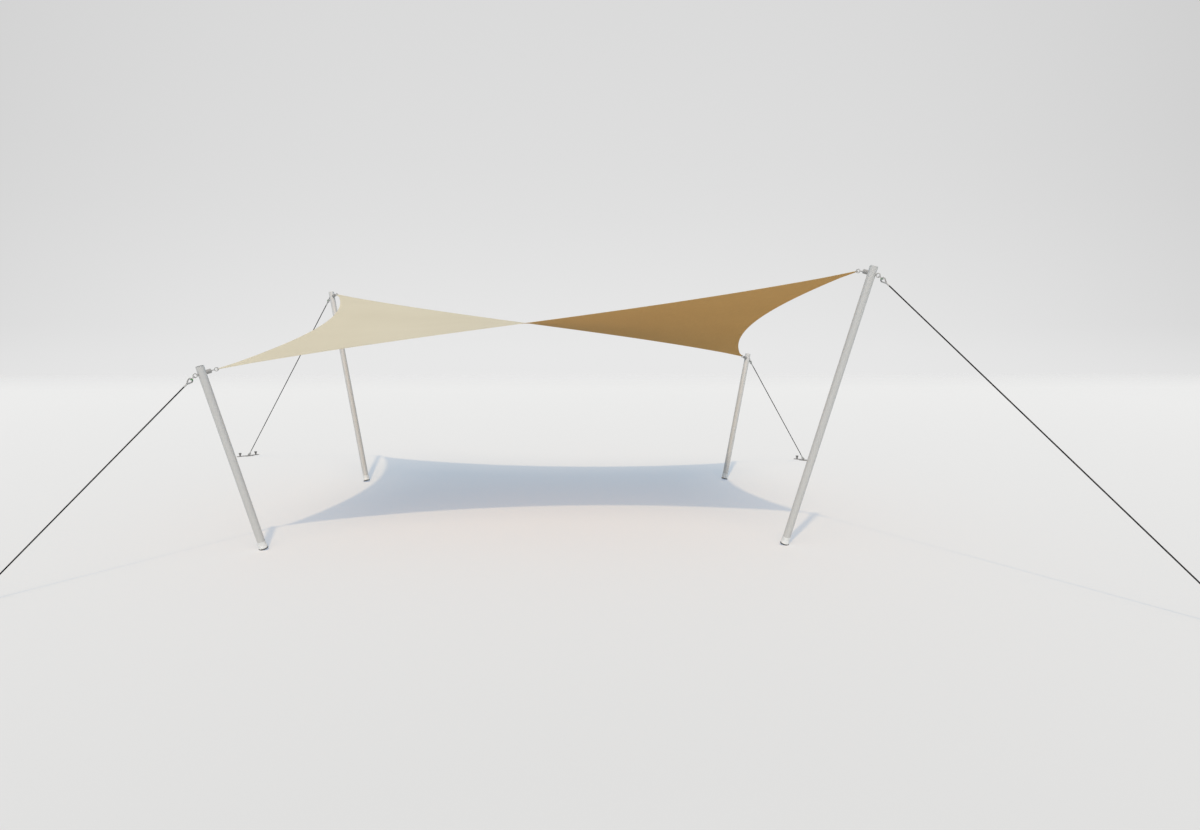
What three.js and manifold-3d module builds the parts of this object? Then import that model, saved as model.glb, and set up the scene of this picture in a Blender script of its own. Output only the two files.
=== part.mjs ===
// Four-point saddle sail on four leaning, guyed poles. Millimetres, +Z up, the ground is z = 0.
// The sail's long edges run along X. Two opposite corners are high and two are low, so the whole
// tent looks the same after half a turn about the vertical line through its middle.
import * as THREE from 'three';
import { mergeVertices } from 'three/addons/utils/BufferGeometryUtils.js';
import Module from 'manifold-3d';

const wasm = await Module();
wasm.setup();

// ---------------------------------------------------------------- driving dimensions
const GAP = 0.4; // clearance between pieces that touch

// One row for each kind of corner. foot: where the pole's axis meets the ground. top: the middle
// of the pole's open end. rig: direction of the eye bolt seen from above, in degrees. tipHeight:
// height of the cloth's corner. guy: direction of the guy seen from above. reach: level distance
// from the pole's axis at the bolt to the ring of the anchor plate.
const SUPPORTS = {
  low: { foot: [-2670, -1900], top: [-3065, -2235, 1865], rig: 225, tipHeight: 1838, guy: 221.7, reach: 1816 },
  high: { foot: [2595, -1805], top: [3205, -2425, 2790], rig: -43, tipHeight: 2745, guy: -42.2, reach: 2892 },
};
// turned: the corner is its row's shape turned half way round. own: where this corner's foot and
// guy were pegged out by hand a little differently, before the turn.
const CORNERS = [
  { name: 'front_left', kind: 'low', turned: false, own: { foot: [-2708, -1820] } },
  { name: 'front_right', kind: 'high', turned: false },
  { name: 'back_right', kind: 'low', turned: true, own: { guy: 227.6, reach: 1965 } },
  { name: 'back_left', kind: 'high', turned: true, own: { foot: [2630, -1926], guy: -43.7, reach: 3007 } },
];

const SAIL = {
  cells: 24, // net cells along each edge
  thickness: 2,
  tipDistance: 161, // level distance from the pole's axis to the point where two edges would meet
  longEdgePull: 0.47, // tightness of the hem along X, over the cloth's own pull
  shortEdgePull: 1.58, // tightness of the hem along Y, over the cloth's own pull
  eyeletBeyondTip: 13, // the eyelet sits outside that point, in a rounded nose
  noseRadius: 18,
  eyeletHole: 9.6,
};
const POLE = { radius: 38, wall: 3, sides: 24, boltBelowTop: 72 };
const FOOT = { above: 20.4, radius: 44, topRadius: 41, height: 70, floor: 4, soleRadius: 45, sole: 9.6 };
const BOLT = { radius: 6, washer: 13, washerWidth: 4, outerEye: 66 };
const OUTER_EYE = { radius: 18, wire: 5 };
const BLOCK = { radius: 21, end: 84.4, mouth: 9, mouthDepth: 8.4 }; // end: from the pole's axis
const LINK = { ring: 17, wire: 4, rod: 5, start: 78, play: 1.2 }; // play: slack in the eyelet
const EYELET = { bore: 7.4, barrel: 9, flange: 15, flangeWidth: 1.2, faceGap: 1.6 };
const SHACKLE = { wire: 4, bow: 12, pinFromEye: 49, pin: 4, lug: 8, lugWidth: 9, head: 7 };
const THIMBLE = { radius: 18, wall: 7, width: 12, apex: 60 };
const FERRULE = { radius: 7.5, topLength: 41, lowLength: 62 };
const CABLE = { radius: 6, sides: 12 };
const FACETS = { bar: 12, ring: 14, wire: 6, thimble: 8 }; // sides of the small round pieces
const PLATE = { length: 390, width: 60, thickness: 8, corner: 14, pegs: 140, pegHole: 11.6 };
const TONGUE = { width: 148, reach: 78, corner: 22 }; // the plate's middle part, towards the tent
const PLATE_EYE = { radius: 14, wire: 4, height: 20, inwards: 40 };
const PEG = { stem: 10, stemHeight: 14, head: 24, height: 64 };

// ---------------------------------------------------------------- finishes
const paint = (color, roughness, metalness) =>
  new THREE.MeshStandardMaterial({ color, roughness, metalness });
const FINISH = {
  cloth: paint(0xd5cdb7, 0.9, 0),
  pole: paint(0xbebebc, 0.5, 0.3),
  sleeve: paint(0xf0efea, 0.5, 0),
  rubber: paint(0x4a4a48, 0.85, 0),
  steel: paint(0xa8acae, 0.35, 0.8),
  pin: paint(0x3f7d45, 0.5, 0.1),
  cable: paint(0x3a3c3e, 0.7, 0),
  plate: paint(0x8a8c8c, 0.5, 0.6),
};

// ---------------------------------------------------------------- solids
const vec = (x, y, z) => new THREE.Vector3(x, y, z);

function toManifold(geometry) {
  const bare = geometry.clone();
  bare.deleteAttribute('normal');
  bare.deleteAttribute('uv');
  const merged = mergeVertices(bare, 1e-3);
  const vertProperties = new Float32Array(merged.attributes.position.array);
  const triVerts = new Uint32Array(merged.index.array);
  return new wasm.Manifold(new wasm.Mesh({ numProp: 3, vertProperties, triVerts }));
}

function fromManifold(solid) {
  const { vertProperties, triVerts } = solid.getMesh();
  const geometry = new THREE.BufferGeometry();
  geometry.setAttribute('position', new THREE.BufferAttribute(vertProperties, 3));
  geometry.setIndex(new THREE.BufferAttribute(triVerts, 1));
  geometry.computeVertexNormals();
  return geometry;
}

const join = (first, ...more) =>
  fromManifold(more.reduce((solid, g) => solid.add(toManifold(g)), toManifold(first)));

const cut = (first, ...tools) =>
  fromManifold(tools.reduce((solid, g) => solid.subtract(toManifold(g)), toManifold(first)));

// A round bar along X from x = from to x = to.
const barX = (radius, from, to, sides = FACETS.bar) =>
  new THREE.CylinderGeometry(radius, radius, to - from, sides)
    .rotateZ(-Math.PI / 2)
    .translate((from + to) / 2, 0, 0);

// A round bar along Y.
const barY = (radius, from, to, sides = FACETS.bar) =>
  new THREE.CylinderGeometry(radius, radius, to - from, sides).translate(0, (from + to) / 2, 0);

// A wire ring in the XY plane, round the point (x, 0, 0).
const ringXY = (radius, wire, x) =>
  new THREE.TorusGeometry(radius, wire, FACETS.wire, FACETS.ring).translate(x, 0, 0);

// A wire ring in the XZ plane, round the point (x, 0, 0).
const ringXZ = (radius, wire, x) => ringXY(radius, wire, x).rotateX(Math.PI / 2);

// A turned piece about Z from a table of [radius, height].
const turned = (profile, sides) =>
  new THREE.LatheGeometry(profile.map(([r, z]) => new THREE.Vector2(r, z)), sides).rotateX(Math.PI / 2);

// ---------------------------------------------------------------- frames
// A group whose X axis lies along x, and whose Z axis is as near to up as that allows.
function frameAt(origin, x, up) {
  const xAxis = x.clone().normalize();
  const yAxis = up.clone().cross(xAxis).normalize();
  const zAxis = xAxis.clone().cross(yAxis);
  const group = new THREE.Group();
  group.setRotationFromMatrix(new THREE.Matrix4().makeBasis(xAxis, yAxis, zAxis));
  group.position.copy(origin);
  group.updateMatrix();
  return group;
}

// Every point and direction of one corner, before it is turned.
function setOut({ foot, top, rig, tipHeight, guy, reach }) {
  const bearing = (degrees) =>
    vec(Math.cos(THREE.MathUtils.degToRad(degrees)), Math.sin(THREE.MathUtils.degToRad(degrees)), 0);
  const footPoint = vec(foot[0], foot[1], 0);
  const topPoint = vec(...top);
  const axis = topPoint.clone().sub(footPoint).normalize();
  const length = topPoint.distanceTo(footPoint);
  const away = bearing(rig);
  const guyWay = bearing(guy);
  const along = away.clone().addScaledVector(axis, -away.dot(axis)).normalize();
  const bolt = topPoint.clone().addScaledVector(axis, -POLE.boltBelowTop);
  const tip = bolt.clone().addScaledVector(away, -SAIL.tipDistance).setZ(tipHeight);
  const anchor = bolt.clone().addScaledVector(guyWay, reach).setZ(0);
  const outerEye = bolt.clone().addScaledVector(along, BOLT.outerEye);
  const plateEye = anchor.clone().setZ(PLATE_EYE.height);
  return { footPoint, axis, length, along, guyWay, bolt, tip, anchor, outerEye, plateEye };
}

const PLACES = { low: setOut(SUPPORTS.low), high: setOut(SUPPORTS.high) };

// ---------------------------------------------------------------- the sail
const halfTurn = (p) => vec(-p.x, -p.y, p.z);

// A net of cells x cells whose four corners are held. Each other knot settles at the balance
// point of its neighbours: this is the shape that a stretched cloth with hemmed edges takes.
function settledNet() {
  const n = SAIL.cells;
  const held = [PLACES.low.tip, PLACES.high.tip, halfTurn(PLACES.low.tip), halfTurn(PLACES.high.tip)];
  const knots = [];
  for (let i = 0; i <= n; i++) {
    knots.push([]);
    for (let j = 0; j <= n; j++) {
      const front = held[0].clone().lerp(held[1], i / n);
      const back = held[3].clone().lerp(held[2], i / n);
      knots[i].push(front.lerp(back, j / n));
    }
  }
  const pullX = (j) => (j === 0 || j === n ? SAIL.longEdgePull * n : 1);
  const pullY = (i) => (i === 0 || i === n ? SAIL.shortEdgePull * n : 1);
  const overshoot = 1.9;
  const rounds = 1000;
  for (let round = 0; round < rounds; round++) {
    for (let i = 0; i <= n; i++) {
      for (let j = 0; j <= n; j++) {
        if (i % n === 0 && j % n === 0) continue;
        const sum = vec(0, 0, 0);
        let weight = 0;
        const pull = (knot, force) => {
          sum.addScaledVector(knot, force);
          weight += force;
        };
        if (i > 0) pull(knots[i - 1][j], pullX(j));
        if (i < n) pull(knots[i + 1][j], pullX(j));
        if (j > 0) pull(knots[i][j - 1], pullY(i));
        if (j < n) pull(knots[i][j + 1], pullY(i));
        knots[i][j].lerp(sum.divideScalar(weight), overshoot);
      }
    }
  }
  return knots;
}

// The cloth's corner: the flat triangle of the tip and its two neighbours, drawn out to a rounded
// nose with the eyelet's hole in it. Returns the nose's triangles, the eyelet's place and its axis.
function nose(tip, one, other) {
  const alongOne = one.clone().sub(tip).normalize();
  const alongOther = other.clone().sub(tip).normalize();
  const inward = alongOne.clone().add(alongOther).normalize();
  const normal = alongOne.clone().cross(alongOther).normalize();
  if (normal.z < 0) normal.negate();
  const across = normal.clone().cross(inward);
  const middle = tip.clone().addScaledVector(inward, -SAIL.eyeletBeyondTip);
  const flat = (p) => {
    const q = p.clone().sub(middle);
    return new THREE.Vector2(q.dot(inward), q.dot(across));
  };
  const solid = (p) => middle.clone().addScaledVector(inward, p.x).addScaledVector(across, p.y);
  const [right, left] = flat(one).y < flat(other).y ? [one, other] : [other, one];
  // the straight hem leaves the round nose where its line only touches the circle
  const touch = (p, side) => p.angle() + side * Math.acos(SAIL.noseRadius / p.length());
  const start = touch(flat(left), 1);
  const end = touch(flat(right), -1) + (flat(right).angle() > Math.PI ? 0 : 2 * Math.PI);
  const steps = 8;
  const outline = [flat(left)];
  for (let k = 0; k <= steps; k++) {
    const angle = start + ((end - start) * k) / steps;
    outline.push(new THREE.Vector2(Math.cos(angle), Math.sin(angle)).multiplyScalar(SAIL.noseRadius));
  }
  outline.push(flat(right));
  const hole = new THREE.Path().absarc(0, 0, SAIL.eyeletHole, 0, 2 * Math.PI, true).getPoints(8).slice(0, -1);
  const points = [...outline, ...hole];
  const places = points.map(solid);
  places[0] = left;
  places[outline.length - 1] = right;
  const faces = THREE.ShapeUtils.triangulateShape(outline, [hole]);
  return { middle, normal, inward, triangles: faces.map((f) => f.map((k) => places[k])) };
}

// Gives a sheet of triangles its thickness, and closes its edges and holes with walls.
function thicken(triangles, thickness) {
  const key = (p) => p.toArray().map((c) => Math.round(c * 1000)).join();
  const edges = new Map();
  const faces = [];
  const raised = (p, side) => vec(p.x, p.y, p.z + (side * thickness) / 2);
  for (const [a, b, c] of triangles) {
    const level = (b.x - a.x) * (c.y - a.y) - (b.y - a.y) * (c.x - a.x);
    const face = level > 0 ? [a, b, c] : [a, c, b];
    faces.push(face.map((p) => raised(p, 1)));
    faces.push(face.map((p) => raised(p, -1)).reverse());
    face.forEach((p, k) => {
      const next = face[(k + 1) % 3];
      const back = `${key(next)}|${key(p)}`;
      if (edges.has(back)) edges.delete(back);
      else edges.set(`${key(p)}|${key(next)}`, [p, next]);
    });
  }
  for (const [p, q] of edges.values()) {
    faces.push([raised(q, 1), raised(p, 1), raised(p, -1)]);
    faces.push([raised(q, 1), raised(p, -1), raised(q, -1)]);
  }
  return new THREE.BufferGeometry().setFromPoints(faces.flat());
}

// The cloth with its four noses, and where each eyelet goes.
function makeSail() {
  const n = SAIL.cells;
  const knots = settledNet();
  const triangles = [];
  for (let i = 0; i < n; i++) {
    for (let j = 0; j < n; j++) {
      const [a, b, c, d] = [knots[i][j], knots[i + 1][j], knots[i + 1][j + 1], knots[i][j + 1]];
      const rising = i < n / 2 === j < n / 2; // this cell's diagonal cuts its corner off the sail's
      const pair = rising ? [[a, b, d], [b, c, d]] : [[a, b, c], [a, c, d]];
      triangles.push(...pair);
    }
  }
  const noses = {
    front_left: nose(knots[0][0], knots[1][0], knots[0][1]),
    front_right: nose(knots[n][0], knots[n - 1][0], knots[n][1]),
    back_right: nose(knots[n][n], knots[n - 1][n], knots[n][n - 1]),
    back_left: nose(knots[0][n], knots[1][n], knots[0][n - 1]),
  };
  const tips = [knots[0][0], knots[n][0], knots[n][n], knots[0][n]];
  const whole = triangles.filter((t) => !t.some((p) => tips.includes(p)));
  for (const corner of Object.values(noses)) whole.push(...corner.triangles);
  return { geometry: thicken(whole, SAIL.thickness), noses };
}

// ---------------------------------------------------------------- poles and feet
// In the pole's frame the ground point of the axis is the origin and the pole runs up Z.
function makePole(length) {
  const { radius, wall, sides, boltBelowTop } = POLE;
  const bottom = FOOT.above + FOOT.floor + GAP;
  const tube = turned(
    [[radius, bottom], [radius, length], [radius - wall, length], [radius - wall, bottom], [radius, bottom]],
    sides,
  );
  const hole = barX(BOLT.radius + GAP, -2 * radius, 2 * radius).translate(0, 0, length - boltBelowTop);
  return cut(tube, hole);
}

function makeSleeve() {
  const { above, radius, topRadius, height, floor } = FOOT;
  const inside = POLE.radius + GAP;
  const profile = [
    [0, above],
    [radius, above],
    [radius, above + 8],
    [topRadius, above + height - 2],
    [topRadius - 1, above + height],
    [inside, above + height],
    [inside, above + floor],
    [0, above + floor],
  ];
  return turned(profile, POLE.sides);
}

// The sole is a disc square to the pole. The edge that the lean brings down sits flat on the ground.
function makeSole(poleFrame) {
  const top = FOOT.above - GAP;
  const under = top - FOOT.sole;
  const block = turned([[0, under], [FOOT.soleRadius, under], [FOOT.soleRadius, top], [0, top]], POLE.sides);
  const ground = new THREE.BoxGeometry(400, 400, 100).translate(0, 0, -50);
  const toPole = poleFrame.matrix.clone().invert();
  const level = new THREE.Matrix4().makeTranslation(poleFrame.position).premultiply(toPole);
  return cut(block, ground.applyMatrix4(level));
}

// ---------------------------------------------------------------- fittings at the pole's head
// In the bolt's frame the bolt runs along X through the pole, outwards to the guy.
function makeEyeBolt() {
  const { radius, washer, washerWidth, outerEye } = BOLT;
  const face = POLE.radius + GAP;
  const round = new THREE.CylinderGeometry(face, face, 100, 48).rotateX(Math.PI / 2);
  const mouth = barX(BLOCK.mouth, -BLOCK.end - 5, BLOCK.mouthDepth - BLOCK.end);
  const block = cut(barX(BLOCK.radius, -BLOCK.end, 10 - face, 24), round, mouth);
  return join(
    block,
    barX(radius, BLOCK.mouthDepth - BLOCK.end - 1, outerEye - OUTER_EYE.radius),
    barX(washer, face, face + washerWidth),
    ringXZ(OUTER_EYE.radius, OUTER_EYE.wire, outerEye),
  );
}

// In the link's frame the origin is in the block's mouth, and X runs along the link's rod to the
// middle of its ring.
function makeLink(distance) {
  const { ring, wire, rod } = LINK;
  return join(barX(rod, 0, distance - ring), ringXZ(ring, wire, distance));
}

function makeEyelet() {
  const { bore, barrel, flange, flangeWidth, faceGap } = EYELET;
  const end = faceGap + flangeWidth;
  const profile = [
    [bore, -end],
    [flange, -end],
    [flange, -faceGap],
    [barrel, -faceGap],
    [barrel, faceGap],
    [flange, faceGap],
    [flange, end],
    [bore, end],
    [bore, -end],
  ];
  return turned(profile, FACETS.bar);
}

// ---------------------------------------------------------------- the guy
// In the guy's frame the bolt's outer eye is the origin and X points down the cable at the
// anchor plate's eye. Y is level.
function makeShackle() {
  const { wire, bow, pinFromEye, pin, lug, lugWidth } = SHACKLE;
  const crown = OUTER_EYE.radius - OUTER_EYE.wire - wire - GAP;
  const path = new THREE.CurvePath();
  const level = (x, y) => vec(x, y, 0);
  path.add(new THREE.LineCurve3(level(pinFromEye, -bow), level(crown + bow, -bow)));
  const turn = 6;
  for (let k = 0; k < turn; k++) {
    const at = (m) => {
      const angle = -Math.PI / 2 - (Math.PI * m) / turn;
      return level(crown + bow + bow * Math.cos(angle), bow * Math.sin(angle));
    };
    path.add(new THREE.LineCurve3(at(k), at(k + 1)));
  }
  path.add(new THREE.LineCurve3(level(crown + bow, bow), level(pinFromEye, bow)));
  const section = new THREE.Shape().absarc(0, 0, wire, 0, 2 * Math.PI);
  const bowBar = new THREE.ExtrudeGeometry(section, {
    extrudePath: path,
    steps: 18,
    curveSegments: 4,
    bevelEnabled: false,
  });
  const inside = bow - lugWidth / 2;
  const outside = bow + lugWidth / 2;
  const lugs = [
    barY(lug, inside, outside).translate(pinFromEye, 0, 0),
    barY(lug, -outside, -inside).translate(pinFromEye, 0, 0),
  ];
  const hole = barY(pin + GAP, -2 * outside, 2 * outside).translate(pinFromEye, 0, 0);
  return cut(join(bowBar, ...lugs), hole);
}

function makePin() {
  const { bow, pinFromEye, pin, lugWidth, head } = SHACKLE;
  const outside = bow + lugWidth / 2;
  const stem = barY(pin, -outside - 3, outside + GAP + 2);
  const knob = barY(head, outside + GAP, outside + GAP + 5);
  return join(stem, knob).translate(pinFromEye, 0, 0);
}

// A cable end: a teardrop thimble with the ferrule that closes it. The crown's inner face is at
// x = 0 and the ferrule's far end at x = apex + length. It lies in the XY plane.
function makeCableEnd(ferruleLength) {
  const { radius, wall, width, apex } = THIMBLE;
  const drop = (Kind, r, tip) => {
    const touch = Math.acos(r / (tip - radius));
    const outline = new Kind();
    outline.absarc(radius, 0, r, touch, 2 * Math.PI - touch, false);
    outline.lineTo(tip, 0);
    outline.closePath();
    return outline;
  };
  const outer = drop(THREE.Shape, radius + wall, apex + 14);
  outer.holes.push(drop(THREE.Path, radius, apex));
  const ring = new THREE.ExtrudeGeometry(outer, { depth: width, bevelEnabled: false, curveSegments: FACETS.thimble });
  return join(ring.translate(0, 0, -width / 2), barX(FERRULE.radius, apex + 4, apex + ferruleLength));
}

function makeCable(from, to) {
  return barX(CABLE.radius, from, to, CABLE.sides);
}

// ---------------------------------------------------------------- the anchor
// In the anchor's frame the origin is on the ground midway between the pegs, X points away from
// the tent and the plate lies across it.
function makePlate() {
  const { length, width, thickness, corner, pegs, pegHole } = PLATE;
  const [x, y] = [width / 2, length / 2];
  const half = TONGUE.width / 2;
  const outline = new THREE.Shape();
  outline.absarc(x - corner, y - corner, corner, 0, Math.PI / 2);
  outline.absarc(corner - x, y - corner, corner, Math.PI / 2, Math.PI);
  outline.lineTo(-x, half);
  outline.absarc(TONGUE.corner - TONGUE.reach, half - TONGUE.corner, TONGUE.corner, Math.PI / 2, Math.PI);
  outline.absarc(TONGUE.corner - TONGUE.reach, TONGUE.corner - half, TONGUE.corner, Math.PI, 1.5 * Math.PI);
  outline.lineTo(-x, -half);
  outline.absarc(corner - x, corner - y, corner, Math.PI, 1.5 * Math.PI);
  outline.absarc(x - corner, corner - y, corner, 1.5 * Math.PI, 2 * Math.PI);
  for (const side of [-1, 1]) {
    outline.holes.push(new THREE.Path().absarc(0, side * pegs, pegHole, 0, 2 * Math.PI, true));
  }
  const sheet = new THREE.ExtrudeGeometry(outline, {
    depth: thickness,
    bevelEnabled: false,
    curveSegments: 4,
  });
  return join(sheet, ringXZ(PLATE_EYE.radius, PLATE_EYE.wire, -PLATE_EYE.inwards).translate(0, 0, PLATE_EYE.height));
}

function makePeg() {
  const { stem, stemHeight, head, height } = PEG;
  const profile = [
    [0, 0],
    [stem, 0],
    [stem, stemHeight],
    [head, height - 7],
    [head, height - 2],
    [head - 2, height],
    [0, height],
  ];
  return turned(profile, FACETS.bar);
}

// ---------------------------------------------------------------- assembly
const tent = new THREE.Group();
const sail = makeSail();

function add(group, name, geometry, finish) {
  const mesh = new THREE.Mesh(geometry, finish);
  mesh.name = name;
  group.add(mesh);
  return mesh;
}

add(tent, 'sail', sail.geometry, FINISH.cloth);

for (const { name, kind, turned: isTurned, own: changes } of CORNERS) {
  const place = setOut({ ...SUPPORTS[kind], ...changes });
  const up = vec(0, 0, 1);
  const corner = new THREE.Group();
  corner.rotation.z = isTurned ? Math.PI : 0;
  tent.add(corner);

  const atFoot = frameAt(place.footPoint, place.along, place.axis);
  add(atFoot, `pole_${name}`, makePole(place.length), FINISH.pole);
  add(atFoot, `foot_sleeve_${name}`, makeSleeve(), FINISH.sleeve);
  add(atFoot, `foot_sole_${name}`, makeSole(atFoot), FINISH.rubber);

  const atBolt = frameAt(place.bolt, place.along, place.axis);
  add(atBolt, `eye_bolt_${name}`, makeEyeBolt(), FINISH.steel);

  const hem = isTurned ? null : sail.noses[name];
  const own = hem ?? sail.noses[kind === 'low' ? 'front_left' : 'front_right'];
  const inMouth = place.bolt.clone().addScaledVector(place.along, -LINK.start);
  const ringMiddle = own.middle.clone().addScaledVector(own.inward, -LINK.ring - LINK.play);
  const toRing = ringMiddle.sub(inMouth);
  const atLink = frameAt(inMouth, toRing, up);
  add(atLink, `tip_link_${name}`, makeLink(toRing.length()), FINISH.steel);
  const atEyelet = frameAt(own.middle, own.inward, own.normal);
  add(atEyelet, `eyelet_${name}`, makeEyelet(), FINISH.steel);

  const downGuy = place.plateEye.clone().sub(place.outerEye);
  const guyLength = downGuy.length();
  const atGuy = frameAt(place.outerEye, downGuy, up);
  const thimbleStart = SHACKLE.pinFromEye - SHACKLE.pin - GAP;
  const cableStart = thimbleStart + THIMBLE.apex + FERRULE.topLength + GAP;
  const lowStart = guyLength - 7.5;
  const cableEnd = lowStart - THIMBLE.apex - FERRULE.lowLength - GAP;
  add(atGuy, `shackle_${name}`, makeShackle(), FINISH.steel);
  add(atGuy, `shackle_pin_${name}`, makePin(), FINISH.pin);
  const topEnd = makeCableEnd(FERRULE.topLength).rotateX(Math.PI / 2).translate(thimbleStart, 0, 0);
  add(atGuy, `cable_end_top_${name}`, topEnd, FINISH.steel);
  add(atGuy, `cable_${name}`, makeCable(cableStart, cableEnd), FINISH.cable);
  const lowEnd = makeCableEnd(FERRULE.lowLength).rotateZ(Math.PI).translate(lowStart, 0, 0);
  add(atGuy, `cable_end_low_${name}`, lowEnd, FINISH.steel);

  const pegLine = place.anchor.clone().addScaledVector(place.guyWay, PLATE_EYE.inwards);
  const atAnchor = frameAt(pegLine, place.guyWay, up);
  add(atAnchor, `anchor_plate_${name}`, makePlate(), FINISH.plate);
  for (const [side, label] of [[-1, 'a'], [1, 'b']]) {
    const peg = add(atAnchor, `peg_${label}_${name}`, makePeg(), FINISH.plate);
    peg.position.y = side * PLATE.pegs;
  }
  corner.add(atFoot, atBolt, atLink, atEyelet, atGuy, atAnchor);
}

export default tent;
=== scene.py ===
import math

import bmesh
import bpy
import numpy as np
from mathutils import Matrix, Vector
from mathutils.geometry import delaunay_2d_cdt


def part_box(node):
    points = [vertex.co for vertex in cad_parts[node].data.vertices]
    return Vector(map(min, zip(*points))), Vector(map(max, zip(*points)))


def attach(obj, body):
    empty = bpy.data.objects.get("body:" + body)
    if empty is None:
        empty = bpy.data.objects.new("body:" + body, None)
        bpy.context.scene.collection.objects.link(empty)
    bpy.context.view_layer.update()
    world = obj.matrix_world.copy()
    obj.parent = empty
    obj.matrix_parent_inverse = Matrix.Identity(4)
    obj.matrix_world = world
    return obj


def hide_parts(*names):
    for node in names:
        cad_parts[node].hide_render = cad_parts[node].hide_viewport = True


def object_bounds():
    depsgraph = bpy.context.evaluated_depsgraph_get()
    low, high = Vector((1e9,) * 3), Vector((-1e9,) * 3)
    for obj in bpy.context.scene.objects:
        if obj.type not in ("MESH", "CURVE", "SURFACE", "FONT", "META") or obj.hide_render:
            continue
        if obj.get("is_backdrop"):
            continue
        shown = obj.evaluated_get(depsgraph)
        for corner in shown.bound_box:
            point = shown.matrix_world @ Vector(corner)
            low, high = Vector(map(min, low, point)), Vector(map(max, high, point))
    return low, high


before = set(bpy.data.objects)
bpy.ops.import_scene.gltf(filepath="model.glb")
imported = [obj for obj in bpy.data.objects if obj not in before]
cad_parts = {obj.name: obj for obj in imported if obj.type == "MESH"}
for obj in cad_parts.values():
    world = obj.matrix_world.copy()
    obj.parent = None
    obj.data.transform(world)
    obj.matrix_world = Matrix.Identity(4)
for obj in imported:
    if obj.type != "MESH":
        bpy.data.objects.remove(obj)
cad_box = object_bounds()

# ------------------------ camera
# A wide lens stands in front of the tent, a little right of its middle, between the heights of
# the low and the high corners, and tips down slightly.
scene = bpy.context.scene
camera_data = bpy.data.cameras.new("camera")
camera_data.lens = 24
camera_data.sensor_width = 36
camera_data.clip_end = 2000
camera = bpy.data.objects.new("camera", camera_data)
camera.location = (0.4255, -9.832, 2.162)
camera.rotation_euler = (math.radians(90 - 5.77), 0, math.radians(-1.89))
scene.collection.objects.link(camera)
scene.camera = camera

# ------------------------ guy ropes
# Wire rope under a thin dark plastic cover, one to each pole, pulled straight and taut from the
# fitting at the pole's head down to the ground plate. Its six strands show as soft ridges.
CORNERS = [
    {"name": "front_left", "kind": "low", "turned": False},
    {"name": "front_right", "kind": "high", "turned": False},
    {"name": "back_right", "kind": "low", "turned": True},
    {"name": "back_left", "kind": "high", "turned": True},
]
# foot and head are the ends of the pole's axis; bolt_bearing and guy_bearing are directions seen
# from above, in degrees; reach is the level distance from the bolt to the ground plate's ring
RIG = {
    "low": {
        "foot": (-2.670, -1.900, 0.0),
        "head": (-3.065, -2.235, 1.865),
        "bolt_bearing": 225,
        "guy_bearing": 221.7,
        "reach": 1.816,
    },
    "high": {
        "foot": (2.595, -1.805, 0.0),
        "head": (3.205, -2.425, 2.790),
        "bolt_bearing": -43,
        "guy_bearing": -42.2,
        "reach": 2.892,
    },
}
# where feet and guys, pegged out by hand, differ from that, as measured before the half-turn
OWN = {
    "front_left": {"foot": (-2.708, -1.820, 0.0)},
    "back_right": {"guy_bearing": 227.6, "reach": 1.965},
    "back_left": {"foot": (2.630, -1.926, 0.0), "guy_bearing": -43.7, "reach": 3.007},
}
BOLT_BELOW_HEAD = 0.072
OUTER_EYE = 0.066  # from the pole's axis
PLATE_EYE_HEIGHT = 0.020
PEGS_BEYOND_EYE = 0.040  # the line of the pegs lies this much farther out than the plate's ring
CREASE = math.radians(38)  # edges bent more than this stay sharp
UP = Vector((0, 0, 1))


def frame_along(origin, x, up):
    """A place whose X axis lies along x, with Z as near to up as that allows."""
    x = x.normalized()
    y = up.cross(x).normalized()
    place = Matrix((x, y, x.cross(y))).transposed().to_4x4()
    place.translation = origin
    return place


def set_out(corner, own):
    """The places that one corner's pieces are built in."""
    rig = {**RIG[corner["kind"]], **own}
    half_turn = Matrix.Rotation(math.pi if corner["turned"] else 0, 4, "Z")
    foot = half_turn @ Vector(rig["foot"])
    head = half_turn @ Vector(rig["head"])
    axis = (head - foot).normalized()

    def bearing(degrees):
        angle = math.radians(degrees)
        return half_turn @ Vector((math.cos(angle), math.sin(angle), 0))

    away, guy_way = bearing(rig["bolt_bearing"]), bearing(rig["guy_bearing"])
    along = (away - axis * away.dot(axis)).normalized()
    bolt = head - axis * BOLT_BELOW_HEAD
    ring = bolt + guy_way * rig["reach"]
    ring.z = PLATE_EYE_HEIGHT
    outer_eye = bolt + along * OUTER_EYE
    down_guy = ring - outer_eye
    pegs = ring + guy_way * PEGS_BEYOND_EYE
    pegs.z = 0
    return {
        "away": away,
        "pole": frame_along(foot, along, axis),
        "pole_length": (head - foot).length,
        "bolt": frame_along(bolt, along, axis),
        "guy": frame_along(outer_eye, down_guy, UP),
        "guy_length": down_guy.length,
        "anchor": frame_along(pegs, guy_way, UP),
    }


for corner in CORNERS:
    corner.update(set_out(corner, OWN.get(corner["name"], {})))


def circle(radius, sides):
    """Points round a circle, as pairs."""
    angles = [2 * math.pi * k / sides for k in range(sides)]
    return [(radius * math.cos(a), radius * math.sin(a)) for a in angles]


def skin(rings, closed=False):
    """One closed surface over rings of points: a bar with two ends, or a closed loop."""
    bm = bmesh.new()
    made = [[bm.verts.new(p) for p in ring] for ring in rings]
    pairs = list(zip(made, made[1:]))
    if closed:
        pairs.append((made[-1], made[0]))
    for one, other in pairs:
        for k in range(len(one)):
            m = (k + 1) % len(one)
            bm.faces.new((one[k], one[m], other[m], other[k]))
    if not closed:
        bm.faces.new(made[0])
        bm.faces.new(made[-1])
    return bm


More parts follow.
